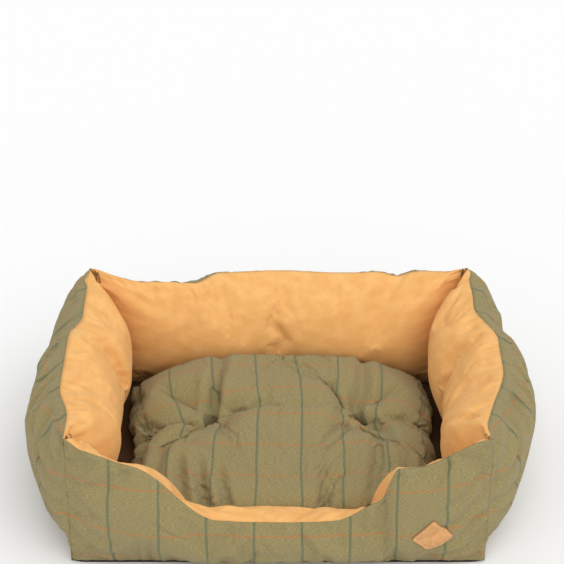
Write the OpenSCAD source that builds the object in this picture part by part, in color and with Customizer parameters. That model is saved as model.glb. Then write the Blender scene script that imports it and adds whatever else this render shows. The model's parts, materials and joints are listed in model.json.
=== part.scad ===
// Rectangular pet cushion bed: four stuffed walls around a padded floor, with a low entry in the front
// wall, and a loose tufted cushion that lifts out. Millimetres, +Z up, the front wall faces -Y, and the
// origin is on the floor under the middle of the bed.

/* [Walls] */
// Width between the top seam's corners
seam_w = 520; // [460:5:600]
// Depth between the top seam's corners
seam_d = 400; // [370:5:480]
// Height of the walls at the corners
wall_h = 190; // [170:2:220]
// How far the side walls belly out past their top seam
side_belly = 60; // [40:2:70]
// How far the back wall bellies out past its top seam
back_belly = 50; // [35:1:60]
// How far the front wall bellies out past its top seam
front_belly = 34; // [20:1:45]
// How far a wall's top seam bows outwards: sides
side_bow = 14; // [0:1:18]
// How far a wall's top seam bows outwards: front
front_bow = 20; // [0:1:24]

/* [Entry] */
// Half width of the low middle of the entry
entry_half = 95; // [70:5:110]
// Half width at the shoulders of the entry
shoulder_half = 158; // [140:2:180]
// How far the top seam falls from a corner to a shoulder
shoulder_drop = 35; // [10:1:50]
// How far it falls from a shoulder to the middle of the entry
entry_drop = 79; // [40:1:85]

/* [Cushion] */
// Width of the loose cushion
cushion_w = 382; // [340:2:384]
// Depth of the loose cushion
cushion_d = 312; // [280:1:314]
// Radius of the cushion's corners in plan
cushion_r = 70; // [50:5:90]
// Height of the crown above the cushion's edge seam
cushion_crown = 52; // [30:2:56]
// How far each tuft is pulled down
tuft_depth = 26; // [10:1:30]
// Distance of each tuft from the middle
tuft_x = 90; // [70:2:110]

/* [Fabric] */
// Thickness of the wall and cushion cloths
cloth = 1.2; // [0.8:0.1:2]
// Side of the square leather patch
patch_side = 38; // [25:1:50]

/* [Zips] */
// Length of the zip in the back wall
wall_zip_l = 280; // [200:10:300]
// Length of the zip in the cushion's back edge
cushion_zip_l = 226; // [160:2:228]

/* [Hidden] */

air = 0.2;                    // gap between a cloth and what it covers
base_t = 2;                   // thickness of the base sheet
wall_z = base_t + air;        // where the walls' bottom seam lies
pad_t = 10;                   // thickness of the foam in the floor
side_in = 55;                 // how far the side walls swell inwards at their ends
back_in = 40;
front_in = 30;
side_paunch = 10;             // how much further they swell half way along
back_paunch = 6;
stations = 24;                // sections along a wall
arc_steps = 9;                // steps up each face of a wall

// A wall is [angle, half length, distance of its top seam, belly, bow, swell in, paunch, squareness].
FRONT = [0, seam_w / 2, seam_d / 2, front_belly, front_bow, front_in, 0, 4];
RIGHT = [90, seam_d / 2, seam_w / 2, side_belly, side_bow, side_in, side_paunch, 3];
BACK = [180, seam_w / 2, seam_d / 2, back_belly, 0, back_in, back_paunch, 6];
LEFT = [270, seam_d / 2, seam_w / 2, side_belly, side_bow, side_in, side_paunch, 3];

// --- the shape of a wall ---------------------------------------------------------------------------
// s runs from -1 to 1 along a wall, and t from 0 at its bottom seam to 1 at its top seam.
function smooth(x) = let (c = min(1, max(0, x))) c * c * (3 - 2 * c);
function lens(t) = pow(sin(180 * pow(t, 0.85)), 0.65);
function seam_height(wall, s) =
    wall[0] != 0 ? wall_h
    : let (u = abs(s) * wall[1])
      wall_h - shoulder_drop * smooth((wall[1] - u) / (wall[1] - shoulder_half))
      - entry_drop * smooth((shoulder_half - u) / (shoulder_half - entry_half));
function slimming(wall, s) = pow(seam_height(wall, s) / wall_h, 0.6);
function seam_out(wall, s) = wall[4] * (1 - s * s);
function belly_out(wall, s) = wall[3] * (1 - pow(abs(s), wall[7])) * slimming(wall, s);
function swell_in(wall, s) =
    (wall[5] + (wall[4] + wall[6]) * (1 - s * s)) * slimming(wall, s);
// A point on the outer (side 1) or inner (side -1) face, at a depth below the cloth's surface.
function face_point(wall, s, t, side, depth) =
    let (out = side > 0 ? belly_out(wall, s) : swell_in(wall, s),
         w = seam_out(wall, s) + side * max(air / 4, air / 2 + cloth - depth + out * lens(t)),
         z = wall_z + depth + (seam_height(wall, s) - 2 * depth) * t,
         u = s * (wall[1] + min(w, 0) - air))
    [u, -wall[2] - w, z];

// A closed solid between two rows of arcs: a[i] and b[i] are the two sides of section i.
module between(a, b) {
    rows = len(a);
    n = len(a[0]);
    points = [for (i = [0 : rows - 1]) each concat(a[i], b[i])];
    function at(i, side, j) = i * 2 * n + side * n + j;
    function quad(p, q, r, v) = [[p, q, r], [p, r, v]];
    faces = [
        for (i = [0 : rows - 2], j = [0 : n - 2])
            each quad(at(i, 0, j), at(i, 0, j + 1), at(i + 1, 0, j + 1), at(i + 1, 0, j)),
        for (i = [0 : rows - 2], j = [0 : n - 2])
            each quad(at(i, 1, j), at(i + 1, 1, j), at(i + 1, 1, j + 1), at(i, 1, j + 1)),
        for (i = [0 : rows - 2])
            each quad(at(i, 0, 0), at(i + 1, 0, 0), at(i + 1, 1, 0), at(i, 1, 0)),
        for (i = [0 : rows - 2])
            each quad(at(i, 0, n - 1), at(i, 1, n - 1), at(i + 1, 1, n - 1), at(i + 1, 0, n - 1)),
        for (j = [0 : n - 2])
            each quad(at(0, 0, j), at(0, 1, j), at(0, 1, j + 1), at(0, 0, j + 1)),
        for (j = [0 : n - 2])
            each quad(at(rows - 1, 0, j), at(rows - 1, 0, j + 1), at(rows - 1, 1, j + 1), at(rows - 1, 1, j))
    ];
    polyhedron(points, faces, convexity = 8);
}

function spread(i) = let (x = 2 * i / stations - 1) sin(60 * x) / sin(60);
function rise(j) = (1 - cos(180 * j / arc_steps)) / 2;

module outer_panel(wall) rotate([0, 0, wall[0]]) between(
    [for (i = [0 : stations]) [for (j = [0 : arc_steps]) face_point(wall, spread(i), rise(j), 1, 0)]],
    [for (i = [0 : stations]) [for (j = [0 : arc_steps]) face_point(wall, spread(i), rise(j), 1, cloth)]]);

module lining(wall) rotate([0, 0, wall[0]]) between(
    [for (i = [0 : stations]) [for (j = [0 : arc_steps]) face_point(wall, spread(i), rise(j), -1, cloth)]],
    [for (i = [0 : stations]) [for (j = [0 : arc_steps]) face_point(wall, spread(i), rise(j), -1, 0)]]);

module filling(wall) rotate([0, 0, wall[0]]) between(
    [for (i = [0 : stations])
        [for (j = [0 : arc_steps]) face_point(wall, spread(i), rise(j), 1, cloth + air)]],
    [for (i = [0 : stations])
        [for (j = [0 : arc_steps]) face_point(wall, spread(i), rise(j), -1, cloth + air)]]);

// --- the base ---------------------------------------------------------------------------------------
module rounded_plate(w, d, h, r) {
    translate([-w / 2, r - d / 2, 0]) cube([w, d - 2 * r, h]);
    translate([r - w / 2, -d / 2, 0]) cube([w - 2 * r, d, h]);
    for (x = [-1, 1], y = [-1, 1])
        translate([x * (w / 2 - r), y * (d / 2 - r), 0]) cylinder(r = r, h = h, $fn = 64);
}

module base_sheet() color("dimgray") rounded_plate(seam_w + 8, seam_d + 8, base_t, 12);
module base_pad() color("gainsboro")
    translate([0, 0, wall_z]) rounded_plate(seam_w - 56, seam_d - 56, pad_t, 20);
module floor_lining() color("saddlebrown")
    translate([0, 0, wall_z + pad_t + air]) rounded_plate(seam_w - 64, seam_d - 64, cloth, 20);

// --- the patch and the corner tacks -----------------------------------------------------------------
patch_s = 0.73;               // where the patch is along the front wall
patch_t_at = 0.38;            // and how far up it
patch_t = 1.4;                // thickness of its leather
stitch = [3, 0.7, 0.5];
stitches_a_side = 8;

function unit(v) = v / norm(v);
module on_front_panel(s, t, lift) {
    step = 0.02;
    at = face_point(FRONT, s, t, 1, 0);
    along = unit(face_point(FRONT, s + step, t, 1, 0) - face_point(FRONT, s - step, t, 1, 0));
    up = face_point(FRONT, s, t + step, 1, 0) - face_point(FRONT, s, t - step, 1, 0);
    normal = unit(cross(along, up));
    side = cross(normal, along);
    multmatrix([[along[0], side[0], normal[0], at[0] + lift * normal[0]],
                [along[1], side[1], normal[1], at[1] + lift * normal[1]],
                [along[2], side[2], normal[2], at[2] + lift * normal[2]]]) children();
}

module leather_patch() color("peru") on_front_panel(patch_s, patch_t_at, 0.3)
    rotate([0, 0, 45]) translate([-patch_side / 2, -patch_side / 2, 0])
        cube([patch_side, patch_side, patch_t]);

module patch_stitches() color("tan") on_front_panel(patch_s, patch_t_at, 0.3 + patch_t) {
    margin = 2.5;
    reach = patch_side / 2 - margin;
    pitch = 2 * reach / stitches_a_side;
    for (turn = [45 : 90 : 315], k = [0 : stitches_a_side - 1])
        rotate([0, 0, turn]) translate([(k + 0.5) * pitch - reach - stitch[0] / 2, reach, 0]) cube(stitch);
}

// Three bars of thread that close each top corner.
tack = [9, 1.4, 1.2];
tack_lift = air + tack[2] / 2;
module corner_tacks() color("sienna") for (x = [-1, 1], y = [-1, 1], k = [0 : 2])
    translate([x * (seam_w / 2 - 4 - 4 * k), y * (seam_d / 2 - 4 - 4 * k), wall_z + wall_h + tack_lift])
        rotate([0, 0, -45 * x * y]) cube(tack, center = true);

// --- zips -------------------------------------------------------------------------------------------
// A zip lies along X on the plane z = 0, and its slider's pull swings about a pin along Y.
tape = [22, 0.8];             // width and thickness
coil = [4.4, 1.8];
slack = 0.25;                 // running gap between the slider and the coil
slider_l = 11;
flange = 1.3;
roof = 1.2;
pin_r = 0.8;
pull_l = 22;
pull_w = 6;
pull_t = 1.2;
eye_w = 2.8;                  // width of the pull where it goes round the pin
slider_roof = tape[1] + coil[1] + slack + roof;
pin_z = slider_roof + 1.7;
stop_l = 4;
function slider_rest(length) = length / 2 - slider_l / 2 - 1;

module zip_tape(length) translate([-length / 2 - 12, -tape[0] / 2, 0]) cube([length + 24, tape[0], tape[1]]);
module zip_coil(length) translate([-length / 2, -coil[0] / 2, tape[1]]) cube([length, coil[0], coil[1]]);
module zip_stops(length) for (x = [-1, 1])
    translate([x * (length / 2 + stop_l / 2), 0, tape[1] + 1.3]) cube([stop_l, 6, 2.6], center = true);

module zip_slider() {
    wide = coil[0] + 2 * slack + 2 * flange;
    translate([-slider_l / 2, -wide / 2, slider_roof - roof]) cube([slider_l, wide, roof]);
    for (y = [-1, 1]) {
        translate([-slider_l / 2, y > 0 ? wide / 2 - flange : -wide / 2, tape[1] + slack])
            cube([slider_l, flange, slider_roof - tape[1] - slack]);
        translate([-1.6, y > 0 ? eye_w / 2 + 0.2 : -eye_w / 2 - 1.2, slider_roof]) cube([3.2, 1, 3.2]);
    }
    translate([0, 0, pin_z]) rotate([90, 0, 0]) cylinder(r = pin_r, h = eye_w + 1, center = true, $fn = 48);
}

// A flat tab with a round eye that turns on the slider's pin.
module zip_pull() translate([0, 0, pin_z]) {
    difference() {
        union() {
            rotate([90, 0, 0]) cylinder(r = pin_r + 0.75, h = eye_w, center = true, $fn = 48);
            translate([1, -eye_w / 2, -pull_t / 2]) cube([4, eye_w, pull_t]);
            translate([4, -pull_w / 2, -pull_t / 2]) cube([pull_l - 4 - pull_w / 2, pull_w, pull_t]);
            translate([pull_l - pull_w / 2, 0, 0]) cylinder(d = pull_w, h = pull_t, center = true, $fn = 48);
        }
        rotate([90, 0, 0]) cylinder(r = pin_r + 0.06, h = eye_w + 1, center = true, $fn = 48);
        translate([pull_l - pull_w / 2, 0, 0]) cylinder(d = 2.6, h = pull_t + 1, center = true, $fn = 32);
    }
}

// The wall's zip lies on the lower part of the back wall's outer face.
wall_zip_t = 0.2;
module on_back_wall() {
    step = 0.01;
    at = face_point(BACK, 0, wall_zip_t, 1, 0);
    up = face_point(BACK, 0, wall_zip_t + step, 1, 0) - face_point(BACK, 0, wall_zip_t - step, 1, 0);
    lean = atan2(-up[1], up[2]);
    translate([0, -at[1], at[2]]) rotate([0, 0, 180]) rotate([90 + lean, 0, 0]) translate([0, 0, 0.4])
        children();
}
module wall_zip_tape() color("darkolivegreen") on_back_wall() zip_tape(wall_zip_l);
module wall_zip_coil() color("olivedrab") on_back_wall() zip_coil(wall_zip_l);
module wall_zip_stops() color("goldenrod") on_back_wall() zip_stops(wall_zip_l);
module wall_zip_slider() color("goldenrod")
    on_back_wall() translate([-slider_rest(wall_zip_l), 0, 0]) zip_slider();
module wall_zip_pull() color("goldenrod")
    on_back_wall() translate([-slider_rest(wall_zip_l), 0, 0]) zip_pull();

// --- the loose cushion ------------------------------------------------------------------------------
floor_z = wall_z + pad_t + air + cloth;      // top of the bed's floor
cushion_z = floor_z + air;                   // underside of the cushion
edge_z = 48;                                 // height of the cushion's edge seam
cushion_y = -15;                           // middle of the cushion, nearer to the low front wall
tuft_y = 24;                                 // the tufts' place behind the cushion's middle
rings = 10;
corner_steps = 6;
side_steps = 4;
tie_r = 1.5;
fill_drop = 1.6;              // how far the stuffing stops below the top panel
knot_lift = 7;                // how far a tuft's knot stands above its dimple

// The cushion's outline, anticlockwise from its right-hand side: a corner's arc, then a straight side.
function corner_at(q, a) = [
    [1, -1, -1, 1][q] * (cushion_w / 2 - cushion_r) + cushion_r * cos(a),
    [1, 1, -1, -1][q] * (cushion_d / 2 - cushion_r) + cushion_r * sin(a)];
function outline() = [for (q = [0 : 3]) each concat(
    [for (k = [0 : corner_steps]) corner_at(q, 90 * (q + k / corner_steps))],
    [for (k = [1 : side_steps - 1]) let (f = k / side_steps)
        corner_at(q, 90 * (q + 1)) * (1 - f) + corner_at((q + 1) % 4, 90 * (q + 1)) * f])];
function dimple(p) = tuft_depth * (
    exp(-pow(norm(p - [tuft_x, tuft_y]) / 26, 2)) + exp(-pow(norm(p - [-tuft_x, tuft_y]) / 26, 2)));
function crown(r) = sqrt(max(0, 1 - pow(r, 2.4)));
function ring_at(k) = sin(90 * k / rings);
function top_z(r, p, depth) =
    edge_z + max(0, cushion_crown * crown(r) - dimple(p) * crown(r)) - depth * min(1, 4 * crown(r));
function bottom_z(r, depth) =
    max(cushion_z, edge_z - (edge_z - cushion_z) * 1.25 * crown(r)) + depth * min(1, 4 * crown(r));

// A closed solid between two stacked surfaces: both are rings of points from the middle to the edge.
module stacked(upper, lower) {
    n = len(upper[0]);
    m = len(upper);
    points = concat([for (ring = upper) each ring], [for (ring = lower) each ring],
                    [middle(upper), middle(lower)]);
    function at(side, k, j) = side * m * n + k * n + j % n;
    faces = [
        for (k = [0 : m - 2], j = [0 : n - 1]) each [
            [at(0, k, j), at(0, k + 1, j + 1), at(0, k + 1, j)],
            [at(0, k, j), at(0, k, j + 1), at(0, k + 1, j + 1)],
            [at(1, k, j), at(1, k + 1, j), at(1, k + 1, j + 1)],
            [at(1, k, j), at(1, k + 1, j + 1), at(1, k, j + 1)]],
        for (j = [0 : n - 1]) each [
            [2 * m * n, at(0, 0, j + 1), at(0, 0, j)],
            [2 * m * n + 1, at(1, 0, j), at(1, 0, j + 1)],
            [at(0, m - 1, j), at(0, m - 1, j + 1), at(1, m - 1, j + 1)],
            [at(0, m - 1, j), at(1, m - 1, j + 1), at(1, m - 1, j)]]
    ];
    polyhedron(points, faces, convexity = 8);
}
function middle(surface) = [0, 0, surface[0][0][2]];
function surface_rings(inset, height) = let (edge = outline(), shrink = 1 - 2 * inset / cushion_d)
    [for (k = [1 : rings]) let (r = ring_at(k)) [for (p = edge) let (q = p * r * shrink)
        [q[0], q[1], height(r, q)]]];

module tie_holes(r) for (x = [-tuft_x, tuft_x])
    translate([x, tuft_y, 0]) cylinder(r = r, h = 200, $fn = 12);
module in_cushion_place() translate([0, cushion_y, 0]) children();

module cushion_top_panel() color("darkkhaki") in_cushion_place() difference() {
    stacked(surface_rings(0, function(r, q) top_z(r, q, 0)),
            surface_rings(0, function(r, q) top_z(r, q, cloth) - (r > 0.999 ? air : 0)));
    tie_holes(tie_r + air);
}
module cushion_bottom_panel() color("sandybrown") in_cushion_place() difference() {
    stacked(surface_rings(0, function(r, q) bottom_z(r, cloth) - 2 * air + (r > 0.999 ? air : 0)),
            surface_rings(0, function(r, q) bottom_z(r, 0) - (r > 0.999 ? 2 * air : 0)));
    tie_holes(tie_r + air);
}
module cushion_filling() color("white") in_cushion_place() difference() {
    stacked(surface_rings(2 * cloth, function(r, q) top_z(r, q, cloth + fill_drop)),
            surface_rings(2 * cloth, function(r, q) bottom_z(r, cloth + air) - 0.3));
    tie_holes(tie_r + air);
}

// A thread through the cushion, with a flat knot on each face.
module tuft_tie(x) color("darkolivegreen") in_cushion_place() translate([x, tuft_y, 0]) {
    top = top_z(2 * tuft_x / cushion_w, [tuft_x, tuft_y], 0) + knot_lift;
    translate([0, 0, cushion_z + 0.2]) cylinder(r = tie_r, h = top - cushion_z, $fn = 12);
    translate([0, 0, top]) cylinder(r = 4, h = 2, $fn = 12);
}

// The cushion's zip is set in its back edge.
module on_cushion_back() translate([0, cushion_y + cushion_d / 2 + 0.3, edge_z - 1])
    rotate([0, 0, 180]) rotate([90, 0, 0]) children();
module cushion_zip_tape() color("darkolivegreen") on_cushion_back()
    translate([-cushion_zip_l / 2 - 6, -6, 0]) cube([cushion_zip_l + 12, 12, tape[1]]);
module cushion_zip_coil() color("olivedrab") on_cushion_back() zip_coil(cushion_zip_l);
module cushion_zip_stops() color("goldenrod") on_cushion_back() zip_stops(cushion_zip_l);
module cushion_zip_slider() color("goldenrod")
    on_cushion_back() translate([-slider_rest(cushion_zip_l), 0, 0]) zip_slider();
module cushion_zip_pull() color("goldenrod")
    on_cushion_back() translate([-slider_rest(cushion_zip_l), 0, 0]) zip_pull();

color("darkkhaki") outer_panel(FRONT);  // front_outer_panel
color("darkkhaki") outer_panel(BACK);  // back_outer_panel
color("darkkhaki") outer_panel(LEFT);  // left_outer_panel
color("darkkhaki") outer_panel(RIGHT);  // right_outer_panel
color("sandybrown") lining(FRONT);  // front_lining
color("sandybrown") lining(BACK);  // back_lining
color("sandybrown") lining(LEFT);  // left_lining
color("sandybrown") lining(RIGHT);  // right_lining
color("white") filling(FRONT);  // front_filling
color("white") filling(BACK);  // back_filling
color("white") filling(LEFT);  // left_filling
color("white") filling(RIGHT);  // right_filling
base_sheet();
base_pad();
floor_lining();
leather_patch();
patch_stitches();
corner_tacks();
wall_zip_tape();
wall_zip_coil();
wall_zip_stops();
wall_zip_slider();
wall_zip_pull();
cushion_top_panel();
cushion_bottom_panel();
cushion_filling();
tuft_tie(-tuft_x);  // tuft_tie_left
tuft_tie(tuft_x);  // tuft_tie_right
cushion_zip_tape();
cushion_zip_coil();
cushion_zip_stops();
cushion_zip_slider();
cushion_zip_pull();
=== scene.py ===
"""The looks of a pet cushion bed: four stuffed walls of checked tweed lined with suede, a tufted cushion,
a leather patch and two zips. Metres, +Z up, the front wall faces -Y."""

import json
import math

import bpy
import numpy as np
from mathutils import Matrix, Vector
from mathutils.bvhtree import BVHTree


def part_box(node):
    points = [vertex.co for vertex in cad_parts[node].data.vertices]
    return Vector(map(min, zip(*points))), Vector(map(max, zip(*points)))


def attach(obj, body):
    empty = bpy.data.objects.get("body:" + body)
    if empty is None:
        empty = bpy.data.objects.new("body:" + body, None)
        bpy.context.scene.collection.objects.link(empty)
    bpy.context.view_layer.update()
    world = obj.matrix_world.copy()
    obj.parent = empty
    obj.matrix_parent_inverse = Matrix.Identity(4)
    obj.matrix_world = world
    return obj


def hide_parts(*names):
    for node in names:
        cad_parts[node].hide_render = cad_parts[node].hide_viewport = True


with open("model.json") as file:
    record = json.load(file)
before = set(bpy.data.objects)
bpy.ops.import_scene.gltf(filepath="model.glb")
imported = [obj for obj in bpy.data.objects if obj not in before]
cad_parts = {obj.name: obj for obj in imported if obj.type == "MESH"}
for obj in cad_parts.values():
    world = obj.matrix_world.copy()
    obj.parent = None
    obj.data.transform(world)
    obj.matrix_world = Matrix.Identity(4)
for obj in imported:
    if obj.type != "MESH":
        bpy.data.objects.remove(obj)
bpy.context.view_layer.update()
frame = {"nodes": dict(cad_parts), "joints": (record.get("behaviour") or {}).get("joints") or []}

scene = bpy.context.scene

# --- sizes, from the frame ----------------------------------------------------------------------------
HALF_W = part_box("front_outer_panel")[1].x   # half width between the top seam's corners
HALF_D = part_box("right_outer_panel")[1].y   # half depth between them
WALL_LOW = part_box("back_outer_panel")[0].z  # height of the bottom seam
WALL_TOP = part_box("back_outer_panel")[1].z  # height of the top seam
CHECK = 0.060                               # pitch of the tweed's check

SIM_FRAMES = 40
CUSHION_VOLUME = 0.0106            # how much stuffing the cushion holds, in cubic metres
CUSHION_PRESSURE = 30.0            # how hard the stuffing presses towards that volume
WALL_CELL = 0.0050                 # size of a cloth cell in the walls' simulation
CUSHION_CELL = 0.0045
SEAM_DEPTH = 0.004                 # how far the cloths turn in at a seam
LOWEST = 0.0003                    # how near the floor the cloths come
CORNER_LAP = 0.0010                # how far two walls press together at a corner's seam
SEAM_SINK = 0.0015                 # how far a wall's cloths may reach below its bottom seam
LINING_TUCK = 0.002                # how far the suede's ends and foot are drawn in
FOOT_LONG, FOOT_HIGH = 0.04, 0.05  # how much of a wall's end and height a foot takes
FOOT_TUCK = 0.004                  # how far the suede is tucked in at a wall's two feet


# --- small tools --------------------------------------------------------------------------------------
def smooth(x):
    """0 below 0, 1 above 1, and smooth between."""
    x = np.clip(x, 0, 1)
    return x * x * (3 - 2 * x)


def bump(x, middle, width):
    """A rounded bump of height 1."""
    return np.exp(-(((x - middle) / width) ** 2))


def ripple(x, terms):
    """A smooth uneven wave along x, from (waves per metre, phase, height) terms."""
    return sum(h * np.sin(2 * math.pi * f * x + p) for f, p, h in terms)


def unit(vectors):
    """The same vectors, each one long. A vector of no length stays as it is."""
    return vectors / np.maximum(np.linalg.norm(vectors, axis=-1, keepdims=True), 1e-9)


def spread(cols, rows, low=-1):
    """Two grids of numbers: one grows from -1 to 1 along the columns, the other from low to 1 along the
    rows."""
    return np.meshgrid(np.linspace(-1, 1, cols), np.linspace(low, 1, rows), indexing="ij")


def in_scene(name, data):
    holder = bpy.data.objects.new(name, data)
    scene.collection.objects.link(holder)
    return holder


def new_piece(name, points, faces):
    mesh = bpy.data.meshes.new(name)
    mesh.from_pydata(points, [], faces)
    return in_scene(name, mesh)


def quads_of(index):
    """The corners of each cell in a grid of vertex numbers."""
    return np.stack([index[:-1, :-1], index[1:, :-1], index[1:, 1:], index[:-1, 1:]], -1).reshape(-1, 4)


def rim_of(index):
    """The vertex numbers round the edge of a grid of them."""
    return np.unique(np.concatenate([index[0], index[-1], index[:, 0], index[:, -1]]))


def merged(name, grids, uvs):
    """One mesh from several grids of points, with their fabric coordinates as its UVs."""
    points, quads, corners, first = [], [], [], 0
    for grid, uv in zip(grids, uvs):
        cells = quads_of(np.arange(grid[..., 0].size).reshape(grid.shape[:2]))
        points.append(grid.reshape(-1, 3))
        quads.append(cells + first)
        corners.append(uv.reshape(-1, 2)[cells.reshape(-1)])
        first += len(points[-1])
    piece = new_piece(name, np.concatenate(points).tolist(), np.concatenate(quads).tolist())
    layer = piece.data.uv_layers.new(name="fabric")
    layer.data.foreach_set("uv", np.concatenate(corners).astype(np.float32).ravel())
    piece.data.polygons.foreach_set("use_smooth", [True] * len(piece.data.polygons))
    return piece


def points_of(mesh):
    co = np.empty(len(mesh.vertices) * 3, np.float32)
    mesh.vertices.foreach_get("co", co)
    return co.reshape(-1, 3)


def bevel(piece, width, degrees):
    """Rounds the edges of a piece that are sharper than an angle."""
    edges = piece.modifiers.new("edges", "BEVEL")
    edges.width = width
    edges.segments = 3
    edges.limit_method = "ANGLE"
    edges.angle_limit = math.radians(degrees)
    return edges


def apply_modifiers(piece):
    """Replaces a piece's mesh with its evaluated one."""
    graph = bpy.context.evaluated_depsgraph_get()
    mesh = bpy.data.meshes.new_from_object(piece.evaluated_get(graph), depsgraph=graph)
    piece.modifiers.clear()
    piece.data = mesh
    return piece


# --- the walls ----------------------------------------------------------------------------------------
def lens(t, squareness, skew):
    """How full a wall's section is at t, from 0 at the bottom seam to 1 at the top seam. A skew over 1 puts
    the fullest place above half way."""
    return np.sin(math.pi * np.clip(t, 0, 1) ** skew) ** squareness


class Wall:
    """A stuffed wall, drawn facing -Y and turned into place by angle degrees. Its seams run from -half to
    half, at away from the bed's middle. At s from -1 to 1 along it, belly and swell are how far its outer
    and inner faces stand out, bow is how far its top seam does, and sag is how far that is drawn in again.
    At a place in metres along it, height is the top seam's above the bottom seam, and crown is how far the
    suede rises over the top seam."""

    def __init__(self, name, angle, half, away, belly, swell, bow, height, crown, outer=(0.58, 1.15),
                 inner=(0.50, 0.85), sag=lambda s: 0 * s, ease=0.04):
        self.name, self.half, self.away = name, half, away
        self.belly, self.swell, self.bow, self.height = belly, swell, bow, height
        self.crown, self.sag = crown, sag
        self.outer, self.inner = outer, inner        # each face's squareness and skew
        self.ease = ease                             # how much larger its cloth is cut
        self.turn = np.array(Matrix.Rotation(math.radians(angle), 3, "Z"))

    def grids(self):
        """The outer and inner faces before they are stuffed, as grids of points, and their UVs."""
        cols = int(round(2 * self.half / WALL_CELL))
        rows = int(round((WALL_TOP - WALL_LOW) * 1.25 / WALL_CELL))
        s, t = spread(cols + 1, rows + 1, 0)
        high = self.height(s * self.half)
        slim = (high / (WALL_TOP - WALL_LOW)) ** 0.45
        crown = self.crown(s * self.half)
        rolled = 1 - (1 - t) ** (1.0 + crown / 0.016)
        over = crown * np.sin(math.pi * np.clip((t - 0.5) / 0.5, 0, 1))
        faces = []
        for side, depth, shape, up in ((1, self.belly, self.outer, high * t),
                                       (-1, self.swell, self.inner, high * rolled + over)):
            out = self.bow(s) * t ** 0.6 + side * depth(s) * slim * lens(t, *shape)
            out -= self.sag(s) * t ** 4
            u = s * (self.half + np.where(out < 0, out, out * s ** 12) + CORNER_LAP * s ** 12)
            points = np.stack([u, -self.away - out, WALL_LOW + up], -1)
            arc = np.zeros_like(t)
            arc[:, 1:] = np.cumsum(np.linalg.norm(np.diff(points[:, :, 1:], axis=1), axis=2), axis=1)
            faces.append((points, np.stack([s * self.half * 1.02, arc], -1)))
        return faces


def pillow(name, outer, inner):
    """One closed mesh from two faces that share their edges, and the vertex numbers of each face."""
    rows, cols = outer.shape[:2]
    front = np.arange(rows * cols).reshape(rows, cols)
    back = front.copy()
    back[1:-1, 1:-1] = rows * cols + np.arange((rows - 2) * (cols - 2)).reshape(rows - 2, cols - 2)
    points = np.concatenate([outer.reshape(-1, 3), inner[1:-1, 1:-1].reshape(-1, 3)])
    faces = np.concatenate([quads_of(front), quads_of(back)[:, ::-1]])
    return new_piece(name, points.tolist(), faces.tolist()), front, back


def group(piece, name, indices):
    piece.vertex_groups.new(name=name).add([int(i) for i in indices], 1.0, "ADD")


def add_cloth(piece, pressure, growth, bending):
    """Cloth that stays put at its pinned points, cut larger by growth, under a pressure from inside."""
    cloth = piece.modifiers.new("cloth", "CLOTH")
    s = cloth.settings
    s.quality = 6
    s.mass = 0.2
    s.tension_stiffness = s.compression_stiffness = 15.0
    s.shear_stiffness = 5.0
    s.bending_stiffness = bending
    s.tension_damping = s.compression_damping = s.shear_damping = 5
    s.bending_damping = 0.5
    s.air_damping = 4
    s.vertex_group_mass = "pinned"
    s.pin_stiffness = 1
    s.use_pressure = True
    s.uniform_pressure_force = pressure
    s.shrink_min = -growth
    s.effector_weights.gravity = 0
    cloth.collision_settings.use_collision = False
    cloth.collision_settings.use_self_collision = False
    cloth.point_cache.frame_start = 1
    cloth.point_cache.frame_end = SIM_FRAMES
    return cloth


def settled(piece):
    """The simulated positions of a piece's vertices."""
    graph = bpy.context.evaluated_depsgraph_get()
    return points_of(piece.evaluated_get(graph).data).astype(float)


def simulate(jobs):
    """Runs the cloth of several pillows together. Each job is (piece, front, back), and each result is the
    two faces' grids of points."""
    for number in range(1, SIM_FRAMES + 1):
        scene.frame_set(number)
    results = []
    for piece, front, back in jobs:
        points = settled(piece)
        results.append((points[front], points[back]))
    scene.frame_set(1)
    for piece, front, back in jobs:
        bpy.data.objects.remove(piece)
    return results


def entry_height(u):
    """Height of the front wall's top seam above its bottom seam. It falls from the corners to the shoulders
    of the entry, at once on the left and slowly on the right, and then gently on the left and steeply on
    the right."""
    full = WALL_TOP - WALL_LOW
    quick = 0.012 * (u < 0)
    slope = quick * smooth((HALF_W + u) / 0.022) + (0.035 - quick) * smooth((HALF_W - np.abs(u)) / 0.095)
    left = smooth((u + 0.180) / 0.105)
    right = 0.6 * smooth((0.147 - u) / 0.022) + 0.4 * smooth((0.135 - u) / 0.065)
    middle = smooth((u + 0.09) / 0.05) * smooth((0.09 - u) / 0.05)
    return full - slope - 0.076 * left * right - 0.002 * middle


def entry_crown(u):
    """How far the front wall's suede rises over the seam: most in the middle of the entry, and a little on
    its left slope."""
    return 0.0095 * smooth((0.128 - np.abs(u)) / 0.070) + 0.003 * smooth((0.10 - u) / 0.20) - 0.001


def level_height(u):
    return WALL_TOP - WALL_LOW + 0 * u


def low_crown(u):
    return 0.002 + 0 * u


def back_sag(s):
    """Where the back wall's top seam is drawn forward, at its left half as seen from the front."""
    u = s * HALF_W
    return smooth((u - 0.078) / 0.050) * smooth((0.256 - u) / 0.060)


def back_height(u):
    """The back wall's top seam lies a little below its corners, with a small dip right of the middle."""
    dip = 0.008 * bump(u, -0.165, 0.018)
    ends = 0.005 * smooth((HALF_W - np.abs(u)) / 0.03)
    return WALL_TOP - WALL_LOW - ends - 0.007 * back_sag(u / HALF_W) - dip


def left_bow(s):
    """How far the left wall's top seam stands out between its corners: a step behind its middle."""
    return 0.0145 * smooth((s + 0.38) / 0.24) * smooth((0.78 - s) / 0.34) + 0.005 * bump(s, -0.85, 0.06)


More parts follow.
